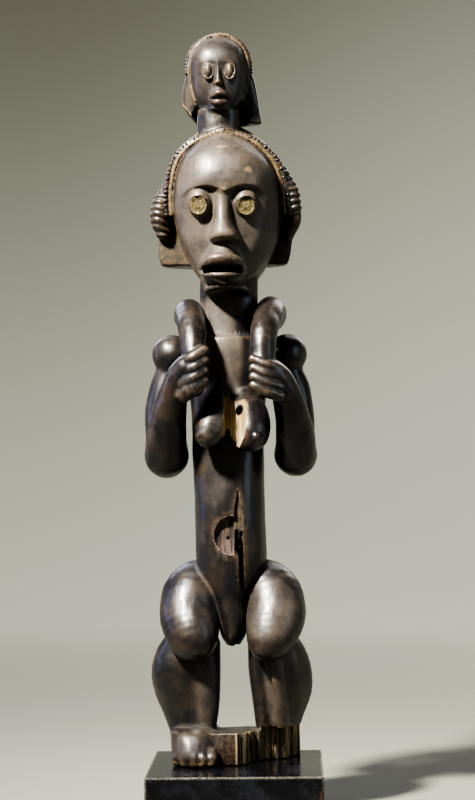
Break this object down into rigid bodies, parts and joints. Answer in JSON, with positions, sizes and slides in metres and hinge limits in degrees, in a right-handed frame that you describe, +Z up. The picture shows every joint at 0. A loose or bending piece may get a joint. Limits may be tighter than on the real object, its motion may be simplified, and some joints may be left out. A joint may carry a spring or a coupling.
{
  "type": "carved wooden reliquary figure on a square plinth",
  "caption": "Standing female reliquary figure carved from one block of dark wood, with a small second head above its coiffure and metal disc eyes, on a black square plinth.",
  "frame": {"origin": "middle of the plinth's underside, on the surface that the object stands on", "axes": "+Z up, along the figure; the figure looks along -Y; +X is to the viewer's right"},
  "size_m": [0.1528, 0.15, 0.689],
  "materials": {
    "dark_wood": "near-black oiled patina with a soft grey gloss, worn ochre on edges and raw tan wood on the broken foot",
    "disc_metal": "dull olive gold, pitted, with pale grey flecks at the rim",
    "black_lacquer": "polished black lacquer, scuffed on the front, worn along the top edge"
  },
  "bodies": {
    "root": {"carved_figure": "dark_wood", "left_eye_disc": "disc_metal", "right_eye_disc": "disc_metal", "plinth": "black_lacquer"}
  },
  "joints": []
}
